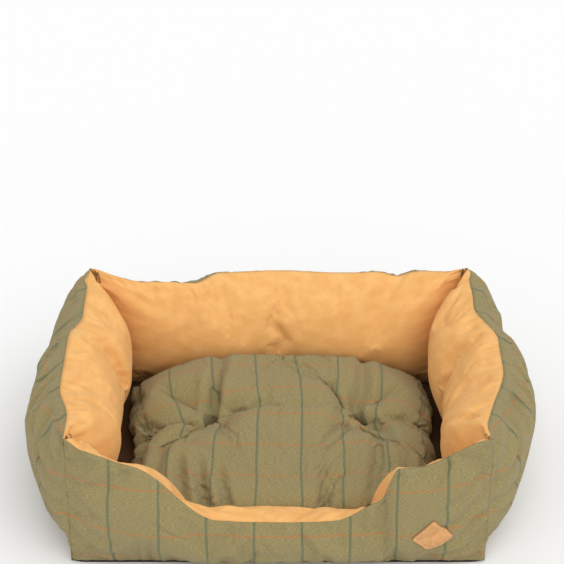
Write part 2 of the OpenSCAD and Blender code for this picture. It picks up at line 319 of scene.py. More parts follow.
def right_bow(s):
    """The same for the right wall, which stands out further and turns in before its front corner."""
    middle = 0.027 * smooth((0.52 - s) / 0.42) * smooth((s + 0.85) / 0.62)
    return middle + 0.003 * bump(s, 0.65, 0.2) + 0.005 * bump(s, 0.93, 0.06) - 0.004 * bump(s, -0.9, 0.1)


WALLS = [
    Wall("front", 0, HALF_W, HALF_D, belly=lambda s: 0.024 * (1 - np.abs(s) ** 4),
         swell=lambda s: 0.038 + 0.022 * (1 - s * s), bow=lambda s: 0.020 * (1 - s * s),
         height=entry_height, crown=entry_crown, inner=(0.64, 0.75)),
    Wall("right", 90, HALF_D, HALF_W, belly=lambda s: 0.041 * (1 - np.abs(s) ** (5 + 7 * (s > 0))),
         swell=lambda s: 0.047 * (1 - np.abs(s) ** (8 + 8 * (s > 0))) + 0.007 * (1 - s * s),
         bow=right_bow, height=level_height, crown=low_crown, outer=(0.42, 1.20), inner=(0.60, 1.30)),
    Wall("back", 180, HALF_W, HALF_D, belly=lambda s: 0.038 * (1 - s ** 6),
         swell=lambda s: 0.049 * (1 - s ** 16) + 0.004 * (1 - s * s),
         bow=lambda s: 0.003 * np.cos(9 * s) * (1 - s ** 8), height=back_height, crown=low_crown,
         inner=(0.66, 0.90), sag=lambda s: 0.019 * back_sag(s), ease=0.018),
    Wall("left", 270, HALF_D, HALF_W, belly=lambda s: 0.041 * (1 - np.abs(s) ** (5 + 2 * (s < 0))),
         swell=lambda s: 0.051 * (1 - np.abs(s) ** (8 + 8 * (s < 0))) + 0.008 * (1 - s * s),
         bow=left_bow, height=level_height, crown=low_crown, outer=(0.42, 1.20), inner=(0.60, 1.30)),
]


def pulled_off_mitre(points, wall):
    """Presses a wall's ends back to the plane where it meets the next wall."""
    u, out = points[..., 0], -points[..., 1] - wall.away
    over = np.maximum(0, np.abs(u) - wall.half - out - CORNER_LAP)
    points = points.copy()
    points[..., 0] -= np.sign(u) * over
    return points


def normals_of(grid):
    """Unit normals of a grid of points."""
    return unit(np.cross(np.gradient(grid, axis=0), np.gradient(grid, axis=1)))


def with_turned_edges(grid, uv, other):
    """Adds a row round a panel that turns its edge in towards the stuffing, as a seam does. other is the
    panel on the pillow's other side."""
    middle = (grid + other) / 2
    turn = np.zeros_like(grid)
    turn[0], turn[-1] = middle[6] - middle[0], middle[-7] - middle[-1]
    turn[:, 0], turn[:, -1] = middle[:, 6] - middle[:, 0], middle[:, -7] - middle[:, -1]
    turn = unit(turn) * SEAM_DEPTH
    big, big_uv, big_turn = (np.pad(g, ((1, 1), (1, 1), (0, 0)), mode="edge") for g in (grid, uv, turn))
    rim = np.ones(big.shape[:2], bool)
    rim[1:-1, 1:-1] = False
    big[rim] += big_turn[rim]
    return big, big_uv


def gathered(grid, uv, height, reach, seed):
    """Raises small uneven puckers that run away from a panel's seams."""
    terms = [(f, seed * 1.7 + f, h) for f, h in ((41, 0.45), (67, 0.35), (103, 0.2), (13, 0.5))]
    rows, cols = grid.shape[:2]
    row, col = np.arange(rows)[:, None] * np.ones(cols), np.arange(cols)[None, :] * np.ones((rows, 1))
    cell = np.linalg.norm(grid[rows // 2, 1:] - grid[rows // 2, :-1], axis=-1).mean()
    along_top = ripple(uv[..., 0], terms) * np.exp(-np.minimum(col, cols - 1 - col) * cell / reach)
    along_end = ripple(uv[..., 1], terms) * np.exp(-np.minimum(row, rows - 1 - row) * cell / reach)
    pinned = np.minimum(np.minimum(col, cols - 1 - col), np.minimum(row, rows - 1 - row))
    rise = height * (along_top + 0.7 * along_end) * smooth((pinned + 0.6) / 2.5)
    return grid + normals_of(grid) * rise[..., None]


def finer(grid, cubic=True):
    """A grid of points with a new row and column between each two, on a smooth curve through them."""
    for axis in (0, 1):
        grid = np.moveaxis(grid, axis, 0)
        before, after = grid[:-1], grid[1:]
        middle = (before + after) / 2
        if cubic:
            outer = np.concatenate([grid[:1], grid[:-2]]) + np.concatenate([grid[2:], grid[-1:]])
            middle = middle * 1.125 - outer / 16
        made = np.empty((2 * len(grid) - 1, *grid.shape[1:]))
        made[::2], made[1::2] = grid, middle
        grid = np.moveaxis(made, 0, axis)
    return grid


def creased(grid, at, size, folds, inward=1, open_start=False):
    """Sinks soft folds into a panel. Each fold is (points, half width, depth). Its points are in the
    panel's own coordinates, which at gives and size turns into metres. It dies out at its ends, or only at
    its far end where open_start is true, and has a low ridge on each side. inward is 1 where the grid's
    normals point out of the stuffing, or -1."""
    at = at * size
    sink = np.zeros(grid.shape[:2])
    for points, width, depth in folds:
        path = np.array(points, float) * size
        legs = np.diff(path, axis=0)
        lengths = np.linalg.norm(legs, axis=1)
        nearest, along = np.full(sink.shape, np.inf), np.zeros(sink.shape)
        for start, leg, length, before in zip(path, legs, lengths, np.cumsum(lengths) - lengths):
            part = np.clip((at - start) @ leg / length ** 2, 0, 1)
            away = np.linalg.norm(at - start - part[..., None] * leg, axis=-1)
            nearer = away < nearest
            nearest[nearer] = away[nearer]
            along[nearer] = ((before + part * length) / lengths.sum())[nearer]
        aside = nearest / width
        share = 1 - along ** 2 if open_start else 1 - np.abs(2 * along - 1) ** 3
        sink += depth * share * (np.exp(-aside ** 2) - 0.35 * np.exp(-((aside - 2.0) / 0.9) ** 2))
    return grid - normals_of(grid) * sink[..., None] * inward


def panel(name, grid, uv, other, seed, flip, gather=0.0016, reach=0.016, folds=(), at=None, size=(1, 1)):
    """One sewn panel as a piece: gathered along its seams, its edges turned in, smoothed and creased."""
    grid = gathered(grid, uv, gather, reach, seed)
    grid, uv = finer(grid), finer(uv, False)
    if folds:
        grid = creased(grid, finer(at, False), size, folds, -1 if flip else 1)
    grid, uv = with_turned_edges(grid, uv, finer(other))
    grid[..., 2] = np.maximum(grid[..., 2], LOWEST)
    if flip:
        grid, uv = grid[::-1], uv[::-1]
    return merged(name, [grid], [uv])


def wall_job(wall):
    (outer, outer_uv), (inner, inner_uv) = wall.grids()
    piece, front, back = pillow(wall.name + "_pillow", outer, inner)
    group(piece, "pinned", rim_of(front))
    add_cloth(piece, pressure=3.0, growth=wall.ease, bending=1.0)
    return (piece, front, back), (outer_uv, inner_uv)


def side_folds(front):
    """The folds in a side wall's tweed: puckers that run down from the top seam, and slanting folds where
    the belly meets the front corner. front is 1 where the panel's first coordinate grows to the front."""
    puckers = [(-0.86, 0.30, 0.0030), (-0.66, 0.20, 0.0040), (-0.44, 0.36, 0.0034), (-0.22, 0.26, 0.0044),
               (-0.05, 0.34, 0.0036), (0.12, 0.24, 0.0046), (0.30, 0.40, 0.0040), (0.46, 0.28, 0.0044),
               (0.62, 0.34, 0.0036)]
    run = ((0, 0), (0.05, 0.5), (0.16, 1))
    folds = [([((s + step) * front, 0.985 - reach * share) for step, share in run], 0.0055, depth)
             for s, reach, depth in puckers]
    slants = [((0.72, 0.93), (0.83, 0.80), (0.97, 0.74)), ((0.60, 0.80), (0.78, 0.66), (0.98, 0.60)),
              ((0.48, 0.62), (0.74, 0.48), (0.98, 0.46)), ((0.55, 0.44), (0.76, 0.33), (0.98, 0.32)),
              ((0.42, 0.30), (0.72, 0.20), (0.94, 0.20))]
    return folds + [([(s * front, t) for s, t in slant], 0.0060, 0.0036) for slant in slants]


TWEED_FOLDS = {
    "front": [([(-0.985, 0.78), (-0.90, 0.55), (-0.78, 0.42)], 0.0070, 0.0022),
              ([(-0.985, 0.52), (-0.88, 0.34), (-0.72, 0.24)], 0.0070, 0.0024),
              ([(-0.98, 0.26), (-0.86, 0.14), (-0.70, 0.09)], 0.0060, 0.0022),
              ([(-0.62, 0.60), (-0.50, 0.57), (-0.40, 0.60)], 0.0050, 0.0016),
              ([(0.985, 0.80), (0.88, 0.66), (0.74, 0.58)], 0.0055, 0.0028),
              ([(0.985, 0.64), (0.86, 0.47), (0.66, 0.38)], 0.0060, 0.0030),
              ([(0.985, 0.47), (0.86, 0.30), (0.62, 0.20)], 0.0060, 0.0030),
              ([(0.985, 0.30), (0.88, 0.16), (0.70, 0.08)], 0.0055, 0.0026),
              ([(0.80, 0.99), (0.79, 0.92), (0.775, 0.86)], 0.0035, 0.0022),
              ([(-0.20, 0.50), (-0.10, 0.40), (0.08, 0.38)], 0.0120, 0.0018),
              ([(0.22, 0.75), (0.34, 0.55), (0.42, 0.30)], 0.0120, 0.0020)],
    "right": side_folds(-1),
    "back": [([(s, 0.985), (s + 0.02, 0.985 - reach / 2), (s + 0.05, 0.985 - reach)], 0.0060, depth)
             for s, reach, depth in ((-0.82, 0.25, 0.003), (-0.55, 0.18, 0.0025), (-0.30, 0.22, 0.002),
                                     (0.02, 0.16, 0.002), (0.28, 0.26, 0.003), (0.60, 0.20, 0.003),
                                     (0.84, 0.28, 0.003))],
    "left": side_folds(1),
}
SUEDE_FOLDS = {
    "front": [],
    "right": [([(-0.78, 0.93), (-0.66, 0.74), (-0.60, 0.50)], 0.0080, 0.0026),
              ([(-0.20, 0.86), (-0.36, 0.70), (-0.48, 0.50)], 0.0070, 0.0022),
              ([(0.52, 0.94), (0.62, 0.78), (0.66, 0.60)], 0.0090, 0.0026)],
    "back": [([(0.90, 0.90), (0.80, 0.82), (0.70, 0.79)], 0.0080, 0.0020),
             ([(-0.42, 0.90), (-0.50, 0.74), (-0.48, 0.58)], 0.0120, 0.0012)],
    "left": [([(-0.30, 0.90), (-0.20, 0.72), (-0.22, 0.50)], 0.0100, 0.0022),
             ([(0.44, 0.92), (0.36, 0.76), (0.40, 0.56)], 0.0090, 0.0022)],
}


def finish_wall(wall, faces, uvs, seed):
    """A wall's two panels, once it is stuffed."""
    grids = []
    for cloth, grid in zip(("tweed", "suede"), faces):
        grid = pulled_off_mitre(grid, wall)
        grid[..., 2] = np.maximum(grid[..., 2], WALL_LOW - SEAM_SINK)
        if cloth == "suede":
            inside = wall.half - np.abs(grid[..., 0])
            foot = smooth(1 - grid[..., 2] / FOOT_HIGH) * smooth(1 - inside / FOOT_LONG)
            grid[..., 0] -= np.sign(grid[..., 0]) * FOOT_TUCK * foot
            grid[..., 1] += FOOT_TUCK * foot
        grids.append(grid @ wall.turn.T)
    hidden = (grids[0] + grids[1]) / 2
    for edge, inner in ((np.s_[0], np.s_[3]), (np.s_[-1], np.s_[-4]), (np.s_[:, 0], np.s_[:, 3])):
        grids[1][edge] += unit(hidden[inner] - hidden[edge]) * LINING_TUCK
    at = np.stack(spread(*grids[0].shape[:2], 0), -1)
    tweed_panel = panel(wall.name + "_wall_tweed", grids[0], uvs[0], grids[1], seed, False,
                        folds=TWEED_FOLDS[wall.name], at=at, size=(wall.half, uvs[0][0, -1, 1]))
    suede_panel = panel(wall.name + "_wall_suede", grids[1], uvs[1], grids[0], seed + 4, True,
                        folds=SUEDE_FOLDS[wall.name], at=at, size=(-wall.half, uvs[1][0, -1, 1]))
    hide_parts(wall.name + "_outer_panel", wall.name + "_filling")
    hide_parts(wall.name + "_lining")
    return tweed_panel, suede_panel


# --- the cushion --------------------------------------------------------------------------------------
CUSHION_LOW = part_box("cushion_bottom_panel")[0].z  # what it rests on
cushion_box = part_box("cushion_top_panel")
CUSHION_MIDDLE = (cushion_box[0] + cushion_box[1]) / 2
CUSHION_SIZE = cushion_box[1] - cushion_box[0]
CUSHION_CUT = (CUSHION_SIZE.x * 1.29, CUSHION_SIZE.y * 1.33)  # its two panels before it is stuffed
CUSHION_SHIFT = 0.007                             # how far it lies to the right in the bed
TUFTS = [(low + high) / 2 for low, high in map(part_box, ("tuft_tie_left", "tuft_tie_right"))]
CUSHION_BAY = ((-0.204, -0.190), (0.215, 0.153))  # how far the walls let it spread in plan
CORNER_CUT = 0.01                                 # how far the cut's corners are rounded off
SEAM_GATHER = 0.08                                # how far the cushion's seam is gathered
TUFT_TOP = 0.060                                  # height of the tufts in its top
LID_TOP = 0.105                                   # height of the cushion's crown
TUFT_R = 0.0045                                   # radius of the cloth that a tuft ties together
TUFT_ARM = 0.0038                                 # half the length of a tuft's stitch
CUSHION_WEAVE = (1.03, 1.09)                      # how much the cushion's check is gathered
CHECK_SHIFT = (0.006, 0.002)                      # where its first lines lie
ZIP_SLACK = 0.93                                  # how far the back seam is gathered onto its zip
TUFT_SLACK = 1.15                                 # how much further apart the tufts are in the cut


def cushion_grid():
    """The flat cut of one cushion panel: a rectangle whose corners are rounded off a little."""
    cols, rows = (int(round(size / CUSHION_CELL)) for size in CUSHION_CUT)
    a, b = spread(cols + 1, rows + 1)
    x = CUSHION_CUT[0] / 2 * a * np.sqrt(1 - CORNER_CUT * b ** 6)
    y = CUSHION_CUT[1] / 2 * b * np.sqrt(1 - CORNER_CUT * a ** 6)
    return x, y, np.sqrt(np.clip((1 - a ** 4) * (1 - b ** 4), 0, 1))


def wall_over(z):
    """How far the back wall's belly leans over the cushion at height z."""
    return 0.018 * smooth((z - 0.052) / 0.030)


def bay_collider():
    """The space that the cushion is stuffed into: the bed's floor, the four walls' inner faces, and a
    low-domed lid that keeps its top as level as a pressed cushion's."""
    (x0, y0), (x1, y1) = CUSHION_BAY
    a, b = spread(25, 21)
    x, y = (x0 + x1) / 2 + a * (x1 - x0) / 2, (y0 + y1) / 2 + b * (y1 - y0) / 2
    lid = np.stack([x, y, LID_TOP - 0.011 * a ** 2 - 0.034 * smooth((0.45 - b) / 1.4)], -1)
    corners = [(x0, y0), (x1, y0), (x1, y1), (x0, y1), (x0, y0)]
    sides = np.array([[(x, y - (y > 0) * wall_over(z), z) for z in np.linspace(CUSHION_LOW, 0.16, 13)]
                      for x, y in corners])
    floor = np.array([[(x, y, CUSHION_LOW) for y in (y0, y1)] for x in (x0, x1)])
    grids = [floor, sides[:, ::-1], lid[:, ::-1]]
    bay = merged("cushion_bay", grids, [g[..., :2] for g in grids])
    bay.modifiers.new("collision", "COLLISION")
    bay.collision.thickness_outer = 0.001
    return bay


def cushion_job(zipper):
    """The cushion's cloth. While it fills, the two tufts are pulled in, and the middle of its back seam is
    held where the zip lies."""
    x, y, full = cushion_grid()
    start = CUSHION_LOW + 0.028
    centre = CUSHION_MIDDLE + Vector((CUSHION_SHIFT, 0, 0))
    top = np.stack([x + centre.x, y + centre.y, start + 0.012 * full], -1)
    bottom = np.stack([x + centre.x, y + centre.y, start - 0.012 * full], -1)
    piece, front, back = pillow("cushion_pillow", top, bottom)
    piece.shape_key_add(name="flat")
    tied = piece.shape_key_add(name="tied")
    pinned = []
    for tuft in TUFTS:
        tuft = tuft + centre - CUSHION_MIDDLE
        cut_x, cut_y = ((tuft[axis] - centre[axis]) * TUFT_SLACK + centre[axis] for axis in (0, 1))
        for grid, index, z in ((top, front, TUFT_TOP), (bottom, back, CUSHION_LOW + 0.004)):
            near = np.hypot(grid[..., 0] - cut_x, grid[..., 1] - cut_y) < TUFT_R
            for number, at in zip(index[near], grid[near]):
                tied.data[int(number)].co = (at[0] + tuft[0] - cut_x, at[1] + tuft[1] - cut_y, z)
                pinned.append(number)
    for number, at in zip(front[:, -1], top[:, -1]):
        along = (at[0] - centre.x) * ZIP_SLACK
        if abs(along) < zipper.length / 2:
            tied.data[int(number)].co = (along, zipper.at[1] - 0.0006, zipper.at[2])
            pinned.append(number)
    group(piece, "pinned", pinned)
    group(piece, "seam", rim_of(front))
    tied.value = 0.0
    tied.keyframe_insert("value", frame=1)
    tied.value = 1.0
    tied.keyframe_insert("value", frame=SIM_FRAMES // 2)
    cloth = add_cloth(piece, pressure=0.0, growth=0.03, bending=0.04)
    s = cloth.settings
    s.vertex_group_shrink = "seam"
    s.shrink_max = SEAM_GATHER
    s.use_pressure_volume = True
    s.target_volume = CUSHION_VOLUME
    s.pressure_factor = CUSHION_PRESSURE
    s.effector_weights.gravity = 0.05
    cloth.collision_settings.use_collision = True
    cloth.collision_settings.distance_min = 0.001
    cloth.collision_settings.collision_quality = 2
    return (piece, front, back), np.stack([x, y], -1)


LEFT_TUFT, RIGHT_TUFT = (-0.444, 0.148), (0.444, 0.148)
TUFT_FOLDS = [
    ([LEFT_TUFT, (-0.39, 0.34), (-0.34, 0.60), (-0.31, 0.92)], 0.0085, 0.0130),
    ([LEFT_TUFT, (-0.55, 0.04), (-0.66, -0.14), (-0.76, -0.38)], 0.0100, 0.0065),
    ([LEFT_TUFT, (-0.56, 0.20), (-0.74, 0.14)], 0.0080, 0.0050),
    ([LEFT_TUFT, (-0.36, 0.06), (-0.24, 0.02)], 0.0080, 0.0030),
    ([RIGHT_TUFT, (0.53, 0.13), (0.60, 0.02), (0.63, -0.20)], 0.0085, 0.0115),
    ([RIGHT_TUFT, (0.46, 0.40), (0.47, 0.64), (0.49, 0.92)], 0.0085, 0.0120),
    ([RIGHT_TUFT, (0.56, 0.17), (0.76, 0.19)], 0.0080, 0.0045),
    ([RIGHT_TUFT, (0.39, 0.40), (0.37, 0.66)], 0.0070, 0.0050),
]
CUSHION_FOLDS = [
    ([(0.54, -0.06), (0.51, -0.34), (0.47, -0.82)], 0.0080, 0.0085),
    ([(0.20, -0.30), (0.22, -0.56), (0.22, -0.88)], 0.0070, 0.0060),
    ([(-0.64, -0.12), (-0.66, -0.36), (-0.72, -0.70)], 0.0075, 0.0050),
    ([(-0.57, -0.28), (-0.54, -0.52), (-0.50, -0.86)], 0.0062, 0.0070),
    ([(-0.46, -0.32), (-0.43, -0.56), (-0.38, -0.88)], 0.0062, 0.0078),
    ([(-0.35, -0.38), (-0.31, -0.60), (-0.26, -0.88)], 0.0060, 0.0060),
    ([(0.06, 0.05), (0.07, -0.30), (0.06, -0.66)], 0.0100, 0.0014),
    ([(0.68, -0.24), (0.66, -0.52), (0.62, -0.86)], 0.0065, 0.0060),
] + [([(0.78, b + 0.02), (0.89, b), (0.99, b - 0.01)], 0.0046, 0.0046)
     for b in (0.70, 0.56, 0.42, 0.28, 0.14, 0.00, -0.14, -0.28, -0.42)] + [
    ([(-0.82, b - 0.02), (-0.91, b), (-0.99, b + 0.01)], 0.0046, 0.0034)
    for b in (0.66, 0.44, 0.25, 0.05, -0.12, -0.34)]


def finish_cushion(faces, uv):
    """The cushion's two panels, once it is stuffed."""
    top, bottom = faces
    bottom[..., 2] = np.maximum(bottom[..., 2], CUSHION_LOW)
    at = np.stack(spread(*top.shape[:2]), -1)
    uv = uv * CUSHION_WEAVE + CHECK_SHIFT
    size = np.array(CUSHION_CUT) / 2
    top = creased(top, at, size, TUFT_FOLDS, open_start=True)
    top_panel = panel("cushion_top", top, uv, bottom, 11, False, gather=0.0022, reach=0.014,
                      folds=CUSHION_FOLDS, at=at, size=size)
    underside = panel("cushion_underside", bottom, uv, top, 12, True, gather=0.0015, reach=0.012)
    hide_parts("cushion_top_panel", "cushion_filling")
    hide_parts("cushion_bottom_panel")
    return top_panel, underside


# --- small pieces: threads, patch, base and zips ------------------------------------------------------
def tubes(name, runs, radius, sides=6):
    """One mesh of round threads with rounded ends, each along a run of points. The UVs are metres along
    and round the thread."""
    turn = 2 * math.pi * np.arange(sides + 1) / sides
    caps = np.radians((4, 35, 65))
    grids, uvs = [], []
    for run in runs:
        run = np.asarray(run, float)
        tangent = unit(np.gradient(run, axis=0))
        start = run[0] - np.outer(np.cos(caps), tangent[0]) * radius
        end = run[-1] + np.outer(np.cos(caps[::-1]), tangent[-1]) * radius
        centres = np.concatenate([start, run, end])
        size = np.concatenate([np.sin(caps), np.ones(len(run)), np.sin(caps[::-1])]) * radius
        tangent = np.concatenate([np.repeat(tangent[:1], 3, 0), tangent, np.repeat(tangent[-1:], 3, 0)])
        upright = abs(tangent[:, 2]).max() >= 0.95
        side = unit(np.cross(tangent, (1.0, 0.02, 0.03) if upright else (0.02, 0.03, 1.0)))
        other = np.cross(tangent, side)
        ring = side[:, None] * np.cos(turn)[None, :, None] + other[:, None] * np.sin(turn)[None, :, None]
        grids.append(centres[:, None] + ring * size[:, None, None])
        length = np.concatenate([[0], np.cumsum(np.linalg.norm(np.diff(centres, axis=0), axis=1))])
        uvs.append(np.stack(np.broadcast_arrays(length[:, None], turn[None, :] * radius), -1))
    return merged(name, grids, uvs)


def thickened(piece, thickness, edge):
    """Makes a closed slab from a single surface, on the side that its normals point to, with its rim's
    edges rounded."""
    solid = piece.modifiers.new("solid", "SOLIDIFY")
    solid.thickness = thickness
    solid.offset = 1.0
    bevel(piece, edge, 50)
    return apply_modifiers(piece)


def surface_of(pieces):
    """The pieces' surfaces together, to cast rays at."""
    points, faces = [], []
    for piece in pieces:
        first = len(points)
        points += [v.co.copy() for v in piece.data.vertices]
        faces += [[first + i for i in face.vertices] for face in piece.data.polygons]
    return BVHTree.FromPolygons(points, faces)


def cast(surface, start, towards, reach, otherwise):
    """Where a ray meets a surface, or the point otherwise."""
    hit = surface.ray_cast(Vector(start), Vector(towards), reach)[0]
    return np.array(hit if hit is not None else otherwise)


def blurred(field, times):
    """A grid of numbers, each evened out with its neighbours."""
    for _ in range(times):
        wide = np.pad(field, 1, mode="edge")
        field = (wide[:-2, 1:-1] + wide[2:, 1:-1] + wide[1:-1, :-2] + wide[1:-1, 2:] + 2 * field) / 6
    return field


PATCH_SIDE = 0.038
PATCH_THICK = 0.0015
PATCH_MARGIN = 0.0025  # from the patch's edge to its stitches
PATCH_STEPS = 27
STITCHES_A_SIDE = 8
# A stitch's points: each one's place along its pitch, and its height over the leather
STITCH = ((-0.34, -0.0003), (-0.22, 0.0001), (0.0, 0.0003), (0.22, 0.0001), (0.34, -0.0003))


class Patch:
    """The leather square on the front wall, which follows the stuffed tweed under it."""

    def __init__(self, tweed_panel):
        surface = surface_of([tweed_panel])
        low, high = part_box("leather_patch")
        middle = np.array((low + high) / 2)
        reach = np.linspace(-0.5, 0.5, 7) * PATCH_SIDE * 1.3
        x, z = np.meshgrid(middle[0] + reach, middle[2] + reach, indexing="ij")
        starts = np.stack([x, np.full_like(x, low.y - 0.05), z], -1).reshape(-1, 3)
        hits = np.array([cast(surface, p, (0, 1, 0), 0.2, p + (0, 0.05, 0)) for p in starts])
        self.at = hits.mean(axis=0)
        normal = np.linalg.svd(hits - self.at)[2][2]
        self.normal = normal if normal[1] < 0 else -normal
        across = unit(np.cross((0, 0, 1), self.normal))
        up = np.cross(self.normal, across)
        self.first, self.second = (across + up) / math.sqrt(2), (up - across) / math.sqrt(2)
        self.steps = np.linspace(-1, 1, PATCH_STEPS)
        self.rise = np.array([[self.height(surface, a, b) for b in self.steps] for a in self.steps])
        # The leather bridges the tweed's hollows, and lies just over it elsewhere
        self.rise = np.maximum(blurred(self.rise, 10), blurred(self.rise, 1)) + 0.0003

    def height(self, surface, a, b):
        """How far the tweed stands over the patch's middle plane, at a and b from -1 to 1."""
        foot = self.flat(a, b)
        hit = cast(surface, foot + self.normal * 0.03, -self.normal, 0.06, foot)
        return float((hit - foot) @ self.normal)

    def flat(self, a, b):
        corner = 1 - 0.035 * (a * b) ** 8
        return self.at + (self.first * a + self.second * b) * PATCH_SIDE / 2 * corner

    def point(self, a, b, above=0.0):
        """A point on the patch, at a and b from -1 to 1."""
        last = PATCH_STEPS - 1
        i, j = (float(np.clip((c + 1) / 2 * last, 0, last - 0.001)) for c in (a, b))
        i0, j0 = int(i), int(j)
        fi, fj = i - i0, j - j0
        r = self.rise
        rise = ((r[i0, j0] * (1 - fi) + r[i0 + 1, j0] * fi) * (1 - fj)
                + (r[i0, j0 + 1] * (1 - fi) + r[i0 + 1, j0 + 1] * fi) * fj)
        return self.flat(a, b) + self.normal * (rise + above)

    def leather(self):
        grid = np.array([[self.point(a, b) for b in self.steps] for a in self.steps])
        uv = np.stack(spread(PATCH_STEPS, PATCH_STEPS), -1) * PATCH_SIDE / 2
        piece = merged("leather_patch_sewn", [grid], [uv])
        thickened(piece, PATCH_THICK, 0.0005)
        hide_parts("leather_patch")
        return piece

    def stitches(self):
        line = 1 - 2 * PATCH_MARGIN / PATCH_SIDE
        pitch = 2 * line / STITCHES_A_SIDE
        runs = []
        for turn in range(4):
            for k in range(STITCHES_A_SIDE):
                run = []
                for step, lift in STITCH:
                    a, b = -line + (k + 0.5 + step) * pitch, line
                    for _ in range(turn):
                        a, b = -b, a
                    run.append(self.point(a, b, PATCH_THICK + lift))
                runs.append(run)
        piece = tubes("patch_stitching", runs, 0.00038)
        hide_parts("patch_stitches")
        return piece


TACK_STEP = 0.004               # from a corner to its first bar, and on to the next
TACKS = {(-1, 1): [0.007] * 3}  # the bars' lengths: most are at the back left
FEW_TACKS = [0.004] * 2


def corner_threads(walls):
    """The bars of thread that close the top corners, laid over the suede on both sides of each seam."""
    surface = surface_of(walls)
    runs = []
    for side_x in (-1, 1):
        for side_y in (-1, 1):
            for k, length in enumerate(TACKS.get((side_x, side_y), FEW_TACKS)):
                inset = TACK_STEP * (k + 1)
                x, y = side_x * (HALF_W - inset), side_y * (HALF_D - inset)
                along = np.array((side_x, -side_y, 0)) / math.sqrt(2) * length / 2
                run = []
                for f in np.linspace(-1, 1, 7):
                    foot = np.array((x, y, WALL_TOP)) + along * f
                    run.append(cast(surface, foot + (0, 0, 0.02), (0, 0, -1), 0.05, foot))
                run = np.array(run)
                run[1:-1, 2] = np.maximum(run[1:-1, 2], (run[:-2, 2] + run[2:, 2]) / 2)
                run[:, 2] += 0.0006 * (1 - np.linspace(-1, 1, 7) ** 4) - 0.0001
                runs.append(run)
    piece = tubes("corner_stitching", runs, 0.0007)
    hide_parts("corner_tacks")
    return piece


def tuft_thread(side, tuft, top_panel, underside):
    """One tuft: a crossed stitch on each face of the cushion and the cord between them."""
    above, below = surface_of([top_panel]), surface_of([underside])
    x, y = tuft.x + CUSHION_SHIFT, tuft.y
    top = cast(above, (x, y, 0.2), (0, 0, -1), 0.3, (x, y, TUFT_TOP))
    bottom = cast(below, (x, y, -0.1), (0, 0, 1), 0.3, (x, y, CUSHION_LOW))
    runs = [np.linspace(bottom + (0, 0, 0.0008), top - (0, 0, 0.0008), 8)]
    arm = np.linspace(-1, 1, 9)
    for centre, surface, way in ((top, above, 1), (bottom, below, -1)):
        for angle in (20, 65, 110, 155):
            turn = math.radians(angle)
            across = np.array((math.cos(turn), math.sin(turn), 0)) * TUFT_ARM
            run = []
            for f in arm:
                foot = centre + across * f
                on = cast(surface, foot + (0, 0, 0.02 * way), (0, 0, -way), 0.05, foot)
                run.append(on + (0, 0, way * (0.0006 - 0.0010 * f ** 6)))
            runs.append(run)
    piece = tubes("tuft_" + side, runs, 0.0006)
    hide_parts("tuft_tie_" + side)
    return piece


LINING_REACH = 0.0295  # how far the floor's lining reaches past its CAD plate, nearly to the walls' seams


def plate(name, node, inset, corner, cell, sag=0.0, tuck=0.0):
    """A soft sheet as large as a CAD plate less inset, with rounded corners, as thick as the plate. Its top
    is uneven by sag, and its edges dip by tuck."""
    low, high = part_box(node)
    width, depth = high.x - low.x - 2 * inset, high.y - low.y - 2 * inset
    a, b = spread(int(width / cell), int(depth / cell))
    x = width / 2 * a - np.sign(a) * 0.29 * corner * np.abs(a) ** 12 * np.abs(b) ** (depth / corner)
    y = depth / 2 * b - np.sign(b) * 0.29 * corner * np.abs(b) ** 12 * np.abs(a) ** (width / corner)
    uneven = ripple(x + 0.6 * y, ((5, 0.4, 0.5), (11, 1.9, 0.3)))
    uneven = uneven * ripple(y - 0.4 * x, ((6, 1.1, 0.6), (13, 0.2, 0.3)))
    rim = np.minimum(width / 2 - np.abs(x), depth / 2 - np.abs(y))
    z = low.z + sag * (uneven - 1) * (1 - a ** 10) * (1 - b ** 10) - tuck * (1 - smooth(rim / 0.016))
    piece = merged(name, [np.stack([x, y, z], -1)], [np.stack([x, y], -1)])
    thickened(piece, high.z - low.z, min(0.0006, (high.z - low.z) * 0.3))
    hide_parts(node)
    return piece


ZIP_TAPE_THICK = 0.0008
PULL_ROOM = 0.016  # what the cushion's zip pull needs behind the cushion


